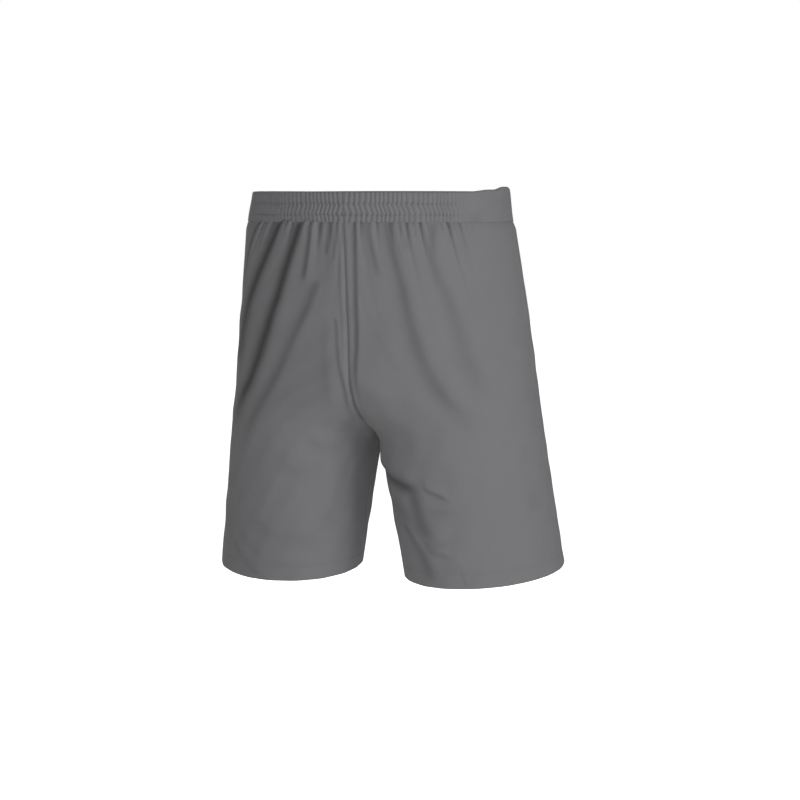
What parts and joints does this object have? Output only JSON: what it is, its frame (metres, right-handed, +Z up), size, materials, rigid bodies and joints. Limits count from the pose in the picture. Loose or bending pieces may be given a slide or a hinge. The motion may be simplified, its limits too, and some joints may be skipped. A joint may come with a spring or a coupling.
{
  "type": "padded impact shorts",
  "caption": "Loose sports shorts, cut above the knee, with a gathered elastic waist over a mesh liner that holds foam pads at hips, thighs, seat and tailbone.",
  "frame": {"origin": "middle of the waist opening, level with the rim of the waistband", "axes": "+Z up along the standing wearer, -Y to the wearer's front, +X to the wearer's left"},
  "size_m": [0.436, 0.2456, 0.467],
  "materials": {
    "shell_cloth": "matte dark grey polyester knit",
    "band_cloth": "the shell knit, gathered on elastic",
    "liner_mesh": "black stretch mesh",
    "elastic": "ribbed knitted elastic",
    "pad": "quilted cloth over foam",
    "satin_tab": "blank woven satin"
  },
  "bodies": {
    "seat": {"waistband_front": "band_cloth", "waistband_back": "band_cloth", "waistband_elastic": "elastic", "rise_seam_tape": "shell_cloth", "liner_front_upper": "liner_mesh", "liner_back_upper": "liner_mesh", "liner_gusset": "liner_mesh", "tailbone_pad": "pad", "size_tab": "satin_tab", "left_front_panel_upper": "shell_cloth", "left_back_panel_upper": "shell_cloth", "right_front_panel_upper": "shell_cloth", "right_back_panel_upper": "shell_cloth"},
    "left_leg": {"left_front_panel_leg": "shell_cloth", "left_back_panel_leg": "shell_cloth", "left_hem": "shell_cloth", "left_liner_front": "liner_mesh", "left_liner_back": "liner_mesh", "left_liner_cuff": "elastic", "left_hip_pad": "pad", "left_thigh_pad": "pad", "left_sit_pad": "pad"},
    "right_leg": {"right_front_panel_leg": "shell_cloth", "right_back_panel_leg": "shell_cloth", "right_hem": "shell_cloth", "right_liner_front": "liner_mesh", "right_liner_back": "liner_mesh", "right_liner_cuff": "elastic", "right_hip_pad": "pad", "right_thigh_pad": "pad", "right_sit_pad": "pad"}
  },
  "joints": [
    {"name": "left_hip", "type": "hinge", "parent": "seat", "child": "left_leg", "pos_m": [0.1, 0.005, -0.185], "axis": [-1, 0, 0], "range_deg": [-10, 40]},
    {"name": "right_hip", "type": "hinge", "parent": "seat", "child": "right_leg", "pos_m": [-0.1, 0.005, -0.185], "axis": [-1, 0, 0], "range_deg": [-10, 40]}
  ]
}
